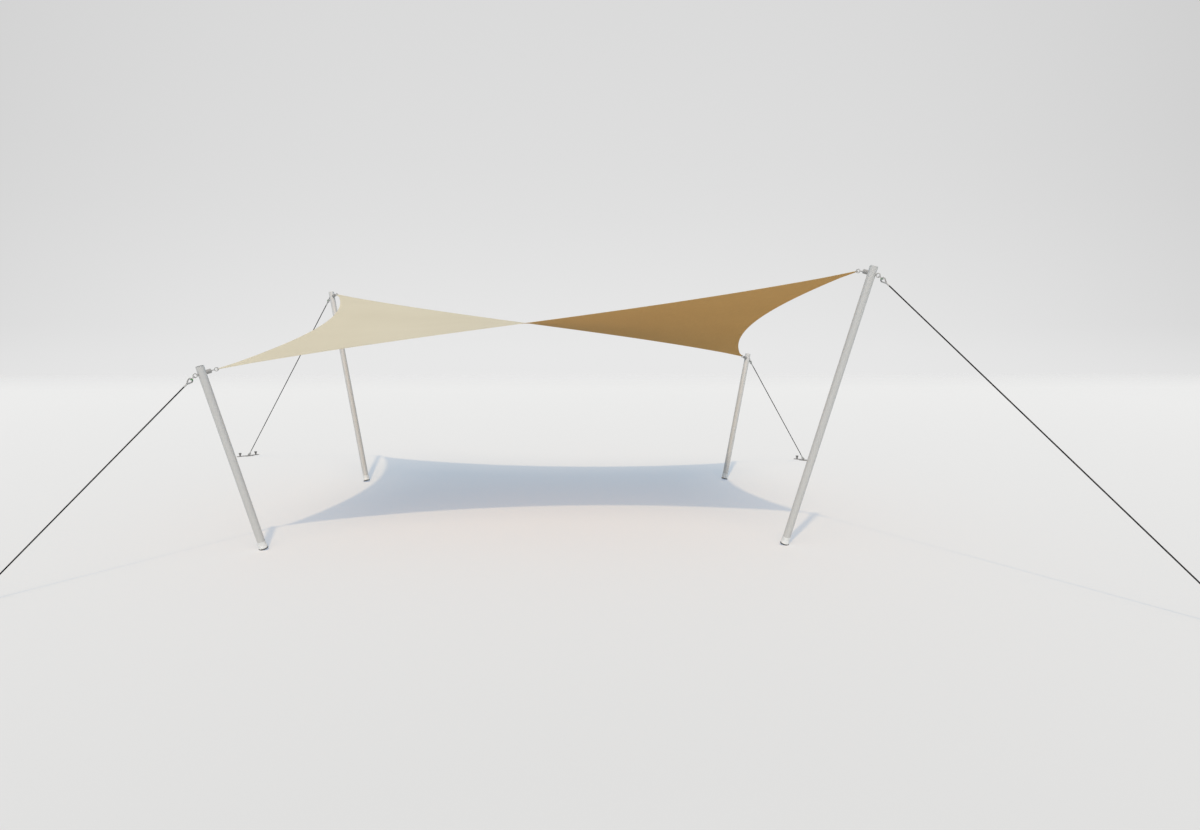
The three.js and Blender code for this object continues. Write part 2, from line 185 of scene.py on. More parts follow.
def sweep(path, section, closed=False):
    """A bar along a path in the XY plane. section(k) gives its outline as (outward, up) pairs."""
    rings = []
    for k, point in enumerate(path):
        if closed:
            ahead, behind = path[(k + 1) % len(path)], path[k - 1]
        else:
            ahead, behind = path[min(k + 1, len(path) - 1)], path[max(k - 1, 0)]
        run = (ahead - behind).normalized()
        outward = Vector((run.y, -run.x, 0))
        rings.append([point + outward * a + UP * b for a, b in section(k)])
    return skin(rings, closed)


def stand(name, bm):
    """Turns built mesh into an object in the scene."""
    mesh = bpy.data.meshes.new(name)
    bm.to_mesh(mesh)
    bm.free()
    made = bpy.data.objects.new(name, mesh)
    scene.collection.objects.link(made)
    return made


def piece(name, bm, place, finish, node):
    """Turns built mesh into a piece of the tent that stands for its CAD node."""
    bmesh.ops.recalc_face_normals(bm, faces=bm.faces)
    for face in bm.faces:
        face.smooth = True
    for edge in bm.edges:
        edge.smooth = edge.calc_face_angle(0) < CREASE
    made = stand(name, bm)
    made.data.materials.append(finish.material)
    made.matrix_world = place
    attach(made, "root")
    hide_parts(node)
    return made


class Tree:
    """Short ways to add nodes to a tree. Sockets take plain values or other nodes' outputs."""

    def __init__(self, tree):
        self.tree = tree

    def feed(self, node, sockets):
        for socket, value in sockets.items():
            if isinstance(value, bpy.types.NodeSocket):
                self.tree.links.new(value, node.inputs[socket])
            else:
                node.inputs[socket].default_value = value

    def node(self, kind, sockets, **settings):
        made = self.tree.nodes.new(kind)
        for name, value in settings.items():
            setattr(made, name, value)
        self.feed(made, sockets)
        return made

    def maths(self, operation, *values, clamp=False):
        sockets = dict(enumerate(values))
        made = self.node("ShaderNodeMath", sockets, operation=operation, use_clamp=clamp)
        return made.outputs["Value"]

    def ramp(self, value, low, high, start, end):
        """Stretches the range from low to high out to the range from start to end."""
        ends = {"From Min": low, "From Max": high, "To Min": start, "To Max": end}
        return self.node("ShaderNodeMapRange", {"Value": value, **ends}).outputs["Result"]


class Finish(Tree):
    """A material in the making, and the CAD slot it stands for: one shader, and its nodes."""

    def __init__(self, name, slot, roughness, metallic=0.0, specular=0.5):
        self.material = bpy.data.materials.new(name)
        self.material.use_nodes = True
        super().__init__(self.material.node_tree)
        self.slot = slot
        self.shader = self.tree.nodes["Principled BSDF"]
        values = {"Roughness": roughness, "Metallic": metallic, "Specular IOR Level": specular}
        self.feed(self.shader, values)
        self.normal = None

    def noise(self, scale, detail=4, stretch=(1, 1, 1), over=None):
        """A noise over the piece's own metres or another map, stretched to run a grain along it."""
        if over is None:
            over = self.node("ShaderNodeTexCoord", {}).outputs["Object"]
        place = self.node("ShaderNodeMapping", {"Vector": over, "Scale": stretch}).outputs["Vector"]
        sockets = {"Vector": place, "Scale": scale, "Detail": detail}
        return self.node("ShaderNodeTexNoise", sockets).outputs["Fac"]

    def spread(self, noise, low, high):
        """Stretches a noise's middle range out to the range from low to high."""
        return self.ramp(noise, 0.3, 0.7, low, high)

    def mix(self, factor, *colours):
        """Blends two colours, each an (r, g, b) or an output."""
        one, other = ((*c, 1) if isinstance(c, tuple) else c for c in colours)
        # the mixing node's colour sockets are its seventh and eighth
        made = self.node("ShaderNodeMix", {0: factor, 6: one, 7: other}, data_type="RGBA")
        return made.outputs[2]

    def colour(self, value):
        self.feed(self.shader, {"Base Color": value})

    def mottle(self, scale, dark, light, **noise):
        self.colour(self.mix(self.spread(self.noise(scale, **noise), 0, 1), dark, light))

    def roughen(self, scale, low, high):
        self.feed(self.shader, {"Roughness": self.spread(self.noise(scale), low, high)})

    def bump(self, height, strength, distance):
        sockets = {"Height": height, "Strength": strength, "Distance": distance}
        if self.normal:
            sockets["Normal"] = self.normal
        self.normal = self.node("ShaderNodeBump", sockets).outputs["Normal"]
        self.feed(self.shader, {"Normal": self.normal})

    def grain(self, scale, strength, distance, **noise):
        self.bump(self.noise(scale, **noise), strength, distance)


STRANDS = {"count": 6, "sides": 24}
ROPE = {"radius": 0.006, "ridge": 0.00015, "lay": 0.085, "step": 0.008}
TOP_END = 0.146  # from the bolt's outer eye to where the cover starts
LOW_END = 0.130  # from the cover's end to the plate's eye
ROUTE_PARTS = 16

rope_cover = Finish("rope_cover", "cable_cover", 0.8, specular=0.25)
rope_cover.mottle(30, (0.007, 0.0075, 0.0085), (0.015, 0.0155, 0.017), stretch=(0.1, 1, 1))
rope_cover.grain(900, 0.15, 0.0003)


def strand_section(rope, run):
    """The outline of a laid rope at a run along it: a circle with a soft ridge to each strand."""
    turn = 2 * math.pi * run / rope["lay"]
    outline = []
    for k in range(STRANDS["sides"]):
        angle = 2 * math.pi * k / STRANDS["sides"]
        valley = 1 - abs(math.cos(STRANDS["count"] * (angle - turn) / 2))
        r = rope["radius"] - rope["ridge"] * valley**2
        outline.append((r * math.cos(angle), r * math.sin(angle)))
    return outline


for corner in CORNERS:
    run = corner["guy_length"] - TOP_END - LOW_END
    steps = round(run / ROPE["step"])
    path = [Vector((TOP_END + run * k / steps, 0, 0)) for k in range(steps + 1)]
    cover = sweep(path, lambda k: strand_section(ROPE, path[k].x))
    name = corner["name"]
    rope = piece(f"{name}_guy_rope", cover, corner["guy"], rope_cover, f"cable_{name}")
    route = [corner["guy"] @ point for point in path[:: steps // ROUTE_PARTS]]
    route[-1] = corner["guy"] @ path[-1]
    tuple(route[0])

# ------------------------ sail
# One stretched, coated cloth: cream and smooth above, ochre and woven below. A folded hem runs
# round it, sewn down with two rows of stitching, and each corner is rounded round its eyelet.
SAIL = {"cells": 24, "long_edge_pull": 0.47, "short_edge_pull": 1.58}
SAIL_TIP = {"distance": 0.161, "height": {"low": 1.838, "high": 2.745}}
NOSE = {"radius": 0.018, "steps": 18}
HOLE = {"radius": 0.0096, "sides": 20, "beyond_tip": 0.013, "inset": 0.012}


def sail_tip(corner):
    """Where the two hems of a corner would meet if it weren't rounded."""
    bolt = set_out(corner, {})["bolt"].translation
    tip = bolt - corner["away"] * SAIL_TIP["distance"]
    tip.z = SAIL_TIP["height"][corner["kind"]]
    return tip


def settled_net():
    """Knots of a square net with four held corners, each other knot balanced by its neighbours."""
    n = SAIL["cells"]
    tips = [sail_tip(corner) for corner in CORNERS]
    held = {(0, 0): tips[0], (n, 0): tips[1], (n, n): tips[2], (0, n): tips[3]}
    count = (n + 1) ** 2
    pulls = np.zeros((count, count))
    ends = np.zeros((count, 3))
    for i in range(n + 1):
        for j in range(n + 1):
            k = i * (n + 1) + j
            if (i, j) in held:
                pulls[k, k] = 1
                ends[k] = held[i, j]
                continue
            along = SAIL["long_edge_pull"] * n if j in (0, n) else 1
            across = SAIL["short_edge_pull"] * n if i in (0, n) else 1
            sides = ((i - 1, j, along), (i + 1, j, along), (i, j - 1, across), (i, j + 1, across))
            for a, b, pull in sides:
                if 0 <= a <= n and 0 <= b <= n:
                    pulls[k, k] += pull
                    pulls[k, a * (n + 1) + b] -= pull
    return np.linalg.solve(pulls, ends).reshape(n + 1, n + 1, 3)


def widened(knots):
    """The knots with one more row at each end, carried on smoothly, to know the curve there."""
    before = 3 * knots[0] - 3 * knots[1] + knots[2]
    after = 3 * knots[-1] - 3 * knots[-2] + knots[-3]
    return np.concatenate([before[None], knots, after[None]])


net = settled_net()
wide_net = widened(widened(net).swapaxes(0, 1)).swapaxes(0, 1)


def through_knots(t):
    """Which knot a position follows, and the weights of the four knots round it."""
    k = np.clip(np.floor(t).astype(int), 0, SAIL["cells"] - 1)
    f = t - k
    weights = [
        -0.5 * f + f**2 - 0.5 * f**3,
        1 - 2.5 * f**2 + 1.5 * f**3,
        0.5 * f + 2 * f**2 - 1.5 * f**3,
        -0.5 * f**2 + 0.5 * f**3,
    ]
    return k, weights


def cloth_at(u, v):
    """Points of the cloth's middle surface, at positions counted in cells of the net."""
    u, v = np.broadcast_arrays(np.asarray(u, float), np.asarray(v, float))
    (ku, wu), (kv, wv) = through_knots(u), through_knots(v)
    return sum(
        (wu[a] * wv[b])[..., None] * wide_net[ku + a, kv + b] for a in range(4) for b in range(4)
    )


def cloth_slopes(u, v):
    """The two directions along the cloth, per cell, and the area that they span."""
    e = 1e-3  # a small step, in cells
    along = (cloth_at(u + e, v) - cloth_at(u - e, v)) / (2 * e)
    across = (cloth_at(u, v + e) - cloth_at(u, v - e)) / (2 * e)
    return along, across, np.linalg.norm(np.cross(along, across), axis=-1)


# how far in from the edge each of the hem's lines runs, and half the cloth's thickness there
HEM_LINES = [{"inset": 0.0, "half": 0.0011}, {"inset": 0.002, "half": 0.0015}]
HEM_LINES += [{"inset": 0.030, "half": 0.0015}, {"inset": 0.033, "half": 0.0009}]
OPEN_CLOTH = {"inset": 0.08, "half": 0.0009}  # all that lies inside the hem
LINE_STEP = 0.25  # cells between the cloth's other lines
FIRST_LINE = 0.5
CELL_RUN = (0.2270, 0.1430)  # one cell along X and along Y, in metres of cloth


def grid_lines():
    """The cloth's lines one way: the hem's, the others', and the hem's again."""
    n = SAIL["cells"]
    near = [{"at": 0.0, "side": 1, **line} for line in HEM_LINES]
    far = [{"at": float(n), "side": -1, **line} for line in reversed(HEM_LINES)]
    count = round((n - 2 * FIRST_LINE) / LINE_STEP)
    middle = [{"at": FIRST_LINE + LINE_STEP * k, "inset": None} for k in range(count + 1)]
    return near + middle + far


class Cloth:
    """The cloth's middle surface as it is built, before it is given its thickness."""

    def __init__(self):
        self.points, self.runs, self.marks, self.faces = [], [], [], []

    def add(self, point, run, inset, half):
        self.points.append(np.asarray(point, float))
        self.runs.append(run)
        self.marks.append((inset, half))
        return len(self.points) - 1


def lay_main_cloth(cloth):
    """All but the four corner cells. Returns the grid of points and the line that bounds them."""
    lines = grid_lines()
    at = np.array([line["at"] for line in lines])
    u, v = np.meshgrid(at, at, indexing="ij")
    along, across, area = cloth_slopes(u, v)
    # a hem line keeps its distance square to the edge, whatever the cells' slant
    for k, line in enumerate(lines):
        if line["inset"]:
            step = line["side"] * line["inset"]
            u[k, :] = line["at"] + step * np.linalg.norm(across[k], axis=-1) / area[k]
            v[:, k] = line["at"] + step * np.linalg.norm(along[:, k], axis=-1) / area[:, k]
    points = cloth_at(u, v)
    grid = np.empty(u.shape, int)
    for i, j in np.ndindex(u.shape):
        hems = [lines[k] for k in (i, j) if lines[k]["inset"] is not None]
        line = min(hems, key=lambda line: line["inset"], default=OPEN_CLOTH)
        run = (u[i, j] * CELL_RUN[0], v[i, j] * CELL_RUN[1])
        grid[i, j] = cloth.add(points[i, j], run, line["inset"], line["half"])
    first = next(k for k, line in enumerate(lines) if line["at"] == 1.0)
    last = len(lines) - 1 - first
    for i in range(len(lines) - 1):
        for j in range(len(lines) - 1):
            in_corner = (i < first or i >= last) and (j < first or j >= last)
            if not in_corner:
                cloth.faces.append((grid[i, j], grid[i + 1, j], grid[i + 1, j + 1], grid[i, j + 1]))
    return grid, first


def round_corner(cloth, grid, first, end_u, end_v):
    """One corner cell: the hems run straight on to a rounded nose, with the eyelet's hole."""
    n = SAIL["cells"]
    from_tip = grid[::-1] if end_u else grid
    from_tip = from_tip[:, ::-1] if end_v else from_tip
    tip_u, tip_v = n * end_u, n * end_v
    step_u, step_v = 1 - 2 * end_u, 1 - 2 * end_v
    tip = Vector(net[tip_u, tip_v])
    one = (Vector(net[tip_u + step_u, tip_v]) - tip).normalized()
    other = (Vector(net[tip_u, tip_v + step_v]) - tip).normalized()
    inward = (one + other).normalized()
    normal = one.cross(other).normalized()
    normal = normal if normal.z > 0 else -normal
    sideways = normal.cross(inward)
    middle = tip - inward * HOLE["beyond_tip"]
    plane = Matrix((inward, sideways, normal))

    def flat(point):
        return np.array(plane @ (Vector(point) - middle))

    # the cloth's height over the corner's plane, and its run, as smooth functions of the place
    cells = np.linspace(0.05, 1.2, 8)
    us, vs = np.meshgrid(tip_u + step_u * cells, tip_v + step_v * cells, indexing="ij")
    samples = np.array([flat(p) for p in cloth_at(us, vs).reshape(-1, 3)])
    runs = [us.reshape(-1) * CELL_RUN[0], vs.reshape(-1) * CELL_RUN[1]]

    def terms(x, y):
        return np.stack([np.ones_like(x), x, y, x * x, x * y, y * y], axis=-1)

    known = np.column_stack([samples[:, 2], *runs])
    fitted = np.linalg.lstsq(terms(samples[:, 0], samples[:, 1]), known, rcond=None)[0]

    places, marks = [], []  # of all the corner's points, and what each is marked with

    def mark(x, y, inset, half, index=None):
        places.append(Vector((x, y)))
        marks.append((inset, half, index))
        return len(places) - 1

    def existing(index):
        x, y, _ = flat(cloth.points[index])
        return mark(x, y, *cloth.marks[index], index)

    inner = [existing(from_tip[first, j]) for j in range(first + 1)]
    inner += [existing(from_tip[i, first]) for i in range(first - 1, -1, -1)]
    if places[inner[0]].y > places[inner[-1]].y:
        inner.reverse()
    # inner now runs from the end of negative y to the end of positive y
    right, left = places[inner[0]], places[inner[-1]]
    r = NOSE["radius"]
    left_angle = math.atan2(left.y, left.x) + math.acos(r / left.length)
    right_angle = math.atan2(right.y, right.x) - math.acos(r / right.length) + 2 * math.pi

    def arc(radius, inset, half):
        ring = []
        for k in range(NOSE["steps"] + 1):
            angle = left_angle + (right_angle - left_angle) * k / NOSE["steps"]
            ring.append(mark(radius * math.cos(angle), radius * math.sin(angle), inset, half))
        return ring

    edge, fold = HEM_LINES[0], HEM_LINES[1]
    nose = arc(r, **edge)
    nose_fold = arc(r - fold["inset"], **fold)
    outline = inner + nose
    edges = list(zip(outline, outline[1:] + outline[:1]))
    folded = [inner[-2], *nose_fold, inner[1]]
    edges += list(zip(folded, folded[1:]))
    # the hem's two inner lines run on side by side with the edges until they meet
    left_run = places[nose[0]] - left
    right_run = places[nose[-1]] - right
    crossing = left_run.x * right_run.y - left_run.y * right_run.x
    for k in (2, 3):
        start = places[inner[-1 - k]]
        apart = places[inner[k]] - start
        share = (apart.x * right_run.y - apart.y * right_run.x) / crossing
        meeting = mark(*(start + left_run * share), **HEM_LINES[k])
        edges += [(inner[-1 - k], meeting), (meeting, inner[k])]
    rim = circle(HOLE["radius"], HOLE["sides"])
    hole = [mark(x, y, HOLE["inset"], fold["half"]) for x, y in rim]
    edges += list(zip(hole, hole[1:] + hole[:1]))
    # a few points of the open cloth keep its triangles even
    shares = (0.45, 0.7, 0.9)
    for a in shares:
        for b in shares:
            x, y, _ = flat(cloth_at(tip_u + step_u * a, tip_v + step_v * b))
            mark(x, y, **OPEN_CLOTH)
    # triangles inside the outline, with points closer than a micrometre taken as one
    out_places, _, out_faces, origins, *_ = delaunay_2d_cdt(places, edges, [], 1, 1e-6)
    indices = []
    for place, from_marks in zip(out_places, origins):
        inset, half, index = marks[from_marks[0]]
        if index is None:
            height, run_x, run_y = terms(np.array(place.x), np.array(place.y)) @ fitted
            point = middle + inward * place.x + sideways * place.y + normal * height
            index = cloth.add(point, (run_x, run_y), inset, half)
        indices.append(index)
    for face in out_faces:
        centre = sum((out_places[k] for k in face), Vector((0, 0))) / len(face)
        if centre.length > HOLE["radius"]:
            cloth.faces.append(tuple(indices[k] for k in face))
    return inward


def thicken(cloth):
    """Top, underside and edges of the cloth, with the maps that its finish follows."""
    points = np.array(cloth.points)
    normals = np.zeros_like(points)
    faces = []
    for face in cloth.faces:
        a, b, c = points[face[0]], points[face[1]], points[face[2]]
        normal = np.cross(b - a, c - a)
        if len(face) == 4:
            normal = np.cross(c - a, points[face[3]] - b) / 2
        if normal[2] < 0:
            face, normal = face[::-1], -normal
        faces.append(face)
        for k in face:
            normals[k] += normal
    normals /= np.linalg.norm(normals, axis=1, keepdims=True)
    half = np.array(cloth.marks)[:, 1:]
    used = sorted({k for face in faces for k in face})
    bm = bmesh.new()
    top = {k: bm.verts.new(points[k] + normals[k] * half[k]) for k in used}
    under = {k: bm.verts.new(points[k] - normals[k] * half[k]) for k in used}
    run_map = bm.loops.layers.uv.new("run")
    inset_map = bm.loops.layers.uv.new("inset")
    seen = {}

    def lay(corners, sources, slot):
        face = bm.faces.new(corners)
        face.material_index = slot
        for loop, k in zip(face.loops, sources):
            loop[run_map].uv = cloth.runs[k]
            loop[inset_map].uv = (cloth.marks[k][0], 0)

    for face in faces:
        lay([top[k] for k in face], face, 0)
        lay([under[k] for k in reversed(face)], face[::-1], 1)
        for a, b in zip(face, face[1:] + face[:1]):
            if (b, a) in seen:
                del seen[b, a]
            else:
                seen[a, b] = True
    for a, b in seen:
        lay([top[b], top[a], under[a], under[b]], (b, a, a, b), 0)
    return bm


cloth = Cloth()
grid, first = lay_main_cloth(cloth)
for corner, (end_u, end_v) in zip(CORNERS, ((0, 0), (1, 0), (1, 1), (0, 1))):
    corner["inward"] = round_corner(cloth, grid, first, end_u, end_v)

STITCHING = {"rows": (0.006, 0.025), "half_width": 0.0007, "step": 0.007, "gap": -0.4, "pale": 1.18}
THREAD_STEP = 0.0032
SLUBS = ((6, 90, 1), (90, 6, 1))  # long soft streaks along both sets of threads


def cloth_finish(name, light, dark, thread, roughness, specular=0.5):
    """Woven, coated cloth: fine threads, slow cloudiness, and two rows of stitching on the hem."""
    made = Finish(name, "sail_cloth", roughness, specular=specular)
    maths = made.maths
    run = made.node("ShaderNodeUVMap", {}, uv_map="run").outputs["UV"]
    inset = made.node("ShaderNodeUVMap", {}, uv_map="inset").outputs["UV"]
    along = made.node("ShaderNodeSeparateXYZ", {"Vector": run}).outputs
    edge = made.node("ShaderNodeSeparateXYZ", {"Vector": inset}).outputs["X"]

    def wave(value, step):
        return maths("SINE", maths("MULTIPLY", value, 2 * math.pi / step))

    slub = maths("MULTIPLY", maths("ADD", *[made.noise(1, 3, s, over=run) for s in SLUBS]), 0.5)
    cloud = made.noise(1.1, detail=5)
    shade = maths("ADD", maths("MULTIPLY", slub, thread), maths("MULTIPLY", cloud, 1 - thread))
    body = made.mix(made.spread(shade, 0, 1), dark, light)
    diagonal = maths("ADD", along["X"], along["Y"])
    stitch = maths("GREATER_THAN", wave(diagonal, STITCHING["step"]), STITCHING["gap"])
    near = []
    for row in STITCHING["rows"]:
        away = maths("ABSOLUTE", maths("SUBTRACT", edge, row))
        near.append(maths("LESS_THAN", away, STITCHING["half_width"]))
    sewn = maths("MULTIPLY", maths("MAXIMUM", *near), stitch)
    made.colour(made.mix(sewn, body, tuple(min(1, c * STITCHING["pale"]) for c in light)))
    weave = maths("MULTIPLY", wave(along["X"], THREAD_STEP), wave(along["Y"], THREAD_STEP))
    made.bump(weave, 0.35 * thread, 0.0004)
    made.bump(sewn, 0.6, 0.0008)
    return made


sail_top = cloth_finish("sail_top", (0.634, 0.599, 0.472), (0.595, 0.558, 0.433), 0.25, 0.75)
sail_under = cloth_finish(
    "sail_under", (0.552, 0.347, 0.134), (0.451, 0.279, 0.101), 0.8, 0.9, specular=0.15
)
sail = piece("sail_cloth", thicken(cloth), Matrix.Identity(4), sail_top, "sail")
sail.data.materials.append(sail_under.material)

# ------------------------ poles
# Light grey anodised aluminium tube, 76 mm across with a 3 mm wall, open at the top. It is
# drilled right through near the top for the eye bolt, and stands in a moulded foot.
POLE = {"radius": 0.038, "inside": 0.035, "bottom": 0.0248, "rim": 0.0008, "hole": 0.0064}

pole_tube = Finish("pole_tube", "pole_tube", 0.6, metallic=0.15)
draw_lines = {"detail": 6, "stretch": (260, 260, 1.2)}
pole_tube.mottle(1, (0.570, 0.593, 0.615), (0.614, 0.638, 0.660), **draw_lines)
pole_tube.roughen(9, 0.56, 0.68)
pole_tube.grain(1, 0.08, 0.0003, **draw_lines)


def turned(profile, sides, closed=False):
    """A piece turned about Z from (radius, height) pairs."""
    bm = skin([[(x, y, height) for x, y in circle(r, sides)] for r, height in profile], closed)
    bmesh.ops.remove_doubles(bm, verts=bm.verts, dist=1e-6)
    loose = [f for f in bm.faces if f.calc_area() < 1e-12]
    bmesh.ops.delete(bm, geom=loose, context="FACES_ONLY")
    bmesh.ops.recalc_face_normals(bm, faces=bm.faces)
    return bm


def moved(bm, matrix):
    bm.transform(matrix)
    return bm


LAID_ALONG_X = Matrix.Rotation(math.pi / 2, 4, "Y")


def carve(one, operation, *others):
    """Welds other meshes onto one, or cuts them out of it."""
    for other in others:
        blanks = []
        for bm in (one, other):
            bmesh.ops.recalc_face_normals(bm, faces=bm.faces)
            blanks.append(stand("blank", bm))
        tool = blanks[0].modifiers.new("carve", "BOOLEAN")
        tool.operation = operation
        tool.solver = "EXACT"
        tool.object = blanks[1]
        ready = blanks[0].evaluated_get(bpy.context.evaluated_depsgraph_get())
        one = bmesh.new()
        one.from_mesh(ready.to_mesh())
        ready.to_mesh_clear()
        for blank in blanks:
            bpy.data.objects.remove(blank)
        bmesh.ops.remove_doubles(one, verts=one.verts, dist=1e-6)
    return one


for corner in CORNERS:
    name, high, low = corner["name"], corner["pole_length"], POLE["bottom"]
    r, inside, rim = POLE["radius"], POLE["inside"], POLE["rim"]
    outer = [(r, low), (r, high - rim), (r - rim, high)]
    inner = [(inside + rim, high), (inside, high - rim), (inside, low)]
    drill = turned([(POLE["hole"], -2 * r), (POLE["hole"], 2 * r)], 24)
    drill = moved(drill, Matrix.Translation((0, 0, high - BOLT_BELOW_HEAD)) @ LAID_ALONG_X)
    tube = carve(turned(outer + inner, 64, closed=True), "DIFFERENCE", drill)
    piece(f"{name}_pole", tube, corner["pole"], pole_tube, f"pole_{name}")

# ------------------------ feet
# A white moulded plastic cup closes the tube's lower end. Under it is a rubber disc, square to
# the pole, whose near-black is partly its own colour and partly painted contact shade. The pole
# leans, so only one edge of the disc bears on the level ground and is cut flat.
FOOT = {"bottom": 0.0204, "top": 0.0904, "radius": 0.044, "inside": 0.0382, "floor": 0.0244}
# the cup's base and rim, as distances in from its side, and up from its base or down from its rim
FOOT_BASE = [(0.002, 0), (0, 0.002), (0, 0.010), (0.0010, 0.0115)]
FOOT_RIM = [(0.0026, 0.008), (0.0018, 0.007), (0.0018, 0.002), (0.0030, 0)]
SOLE = {"radius": 0.0455, "start": 0.0104, "end": 0.0202, "sides": 64, "edge": 0.0014}

foot_plastic = Finish("foot_plastic", "foot_plastic", 0.45)
foot_plastic.mottle(40, (0.700, 0.742, 0.785), (0.775, 0.822, 0.868))
foot_plastic.grain(600, 0.1, 0.0003)
# the sole's near-black is partly the rubber's own colour and partly painted shade under the foot
foot_rubber = Finish("foot_rubber", "foot_rubber", 0.8)
foot_rubber.mottle(120, (0.030, 0.030, 0.029), (0.070, 0.069, 0.066))
foot_rubber.grain(1400, 0.4, 0.0004)


def bar(radius, start, end, sides, edge):
    """A bar or a disc along Z with eased edges."""
    profile = [(0, start), (radius - edge, start), (radius, start + edge)]
    profile += [(radius, end - edge), (radius - edge, end), (0, end)]
    return turned(profile, sides)


def below_ground(place):
    """A block of all that is under the ground, as it lies in a piece's own place."""
    square = ((-1, -1), (1, -1), (1, 1), (-1, 1))
    centre = place.translation
    block = skin([[(centre.x + x, centre.y + y, z) for x, y in square] for z in (-1, 0)])
    return moved(block, place.inverted())


for corner in CORNERS:
    name, pole = corner["name"], corner["pole"]
    r, inside = FOOT["radius"], FOOT["inside"]
    profile = [(0, FOOT["bottom"])] + [(r - a, FOOT["bottom"] + b) for a, b in FOOT_BASE]
    profile += [(r - a, FOOT["top"] - b) for a, b in FOOT_RIM]
    profile += [(inside, FOOT["top"]), (inside, FOOT["floor"]), (0, FOOT["floor"])]
    piece(f"{name}_foot_cup", turned(profile, 64), pole, foot_plastic, f"foot_sleeve_{name}")
    sole = carve(bar(**SOLE), "DIFFERENCE", below_ground(pole))
    piece(f"{name}_foot_sole", sole, pole, foot_rubber, f"foot_sole_{name}")

# ------------------------ eye bolts
# A galvanised steel bolt goes through the pole. Outside, its eye holds the guy's shackle and a
# washer lies against the tube; inside, a thick round block is screwed on, hollowed to fit the tube.
BOLT = {"radius": 0.006, "face": 0.0384, "washer": 0.013, "washer_width": 0.0035, "boss": 0.009}
OUTER_RING = {"radius": 0.018, "wire": 0.005}
BOLT_END = 0.066  # inside the block's bore
BLOCK = {"radius": 0.021, "start": -0.0284, "end": 0.0844, "edge": 0.0016, "bore": 0.0063}
MOUTH = {"radius": 0.009, "depth": 0.0084}
WELD = 0.0005  # how far welded pieces run into one another
CUT_PAST = 0.005  # how far a cut starts outside a piece

rig_steel = Finish("rig_steel", "rig_steel", 0.55, metallic=0.15)
rig_steel.mottle(220, (0.385, 0.400, 0.415), (0.490, 0.508, 0.525))
rig_steel.roughen(150, 0.48, 0.64)
rig_steel.grain(700, 0.15, 0.0003)
# the block's steel is the rig steel painted darker: painted shade, for the shade that falls on the
# block
shaded_block_steel = Finish("shaded_block_steel", "rig_steel", 0.6, metallic=0.15)
shaded_block_steel.mottle(260, (0.285, 0.297, 0.309), (0.375, 0.389, 0.403))
shaded_block_steel.grain(600, 0.2, 0.0003)

UPRIGHT = Matrix.Rotation(math.pi / 2, 4, "X")


def wire_ring(radius, wire, x):
    """An upright wire ring in the XZ plane, round the point (x, 0, 0)."""
    path = [Vector((*p, 0)) for p in circle(radius, 40)]
    outline = circle(wire, 14)
    ring = sweep(path, lambda k: outline, closed=True)
    return moved(ring, Matrix.Translation((x, 0, 0)) @ UPRIGHT)


def bar_x(radius, start, end, sides=24, edge=0.0006):
    """A bar along X with eased ends."""
    return moved(bar(radius, start, end, sides, edge), LAID_ALONG_X)


for corner in CORNERS:
    name, place = corner["name"], corner["bolt"]
    face, washer_end = BOLT["face"], BOLT["face"] + BOLT["washer_width"]
    outer = OUTER_EYE - OUTER_RING["radius"]
    bolt = carve(
        bar_x(BOLT["radius"], -BOLT_END, outer),
        "UNION",
        bar_x(BOLT["washer"], face, washer_end, 32),
        bar_x(BOLT["boss"], washer_end - WELD, outer, 6),
        wire_ring(**OUTER_RING, x=OUTER_EYE),
    )
    end, tall = -BLOCK["end"], 0.05
    block = carve(
        bar_x(BLOCK["radius"], end, BLOCK["start"], 48, BLOCK["edge"]),
        "DIFFERENCE",
        turned([(0, -tall), (face, -tall), (face, tall), (0, tall)], 64),
        bar_x(MOUTH["radius"], end - CUT_PAST, end + MOUTH["depth"], 32),
        bar_x(BLOCK["bore"], end - CUT_PAST, 0, 24),
    )
    piece(f"{name}_eye_bolt", bolt, place, rig_steel, f"eye_bolt_{name}")
    piece(f"{name}_tip_block", block, place, shaded_block_steel, f"eye_bolt_{name}")

# ------------------------ tip links and eyelets
# A short steel rod with a ring at its end hangs from the mouth of the bolt's block. The ring
# passes through a turned steel eyelet pressed into the corner of the hem.
LINK = {"start": 0.078, "rod": 0.005, "ring": 0.017, "wire": 0.004, "play": 0.0012}
EYELET = {"bore": 0.0074, "barrel": 0.0090, "flange": 0.0150, "face": 0.0016, "lip": 0.0012}


def eyelet_of(name):
    """The middle of a corner's eyelet, and its axis, from the CAD node."""
    low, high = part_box(f"eyelet_{name}")
    points = np.array([v.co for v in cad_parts[f"eyelet_{name}"].data.vertices])
    middle = (low + high) / 2
    axis = Vector(np.linalg.svd(points - np.array(middle), full_matrices=False)[2][2])
    return middle, axis if axis.z > 0 else -axis


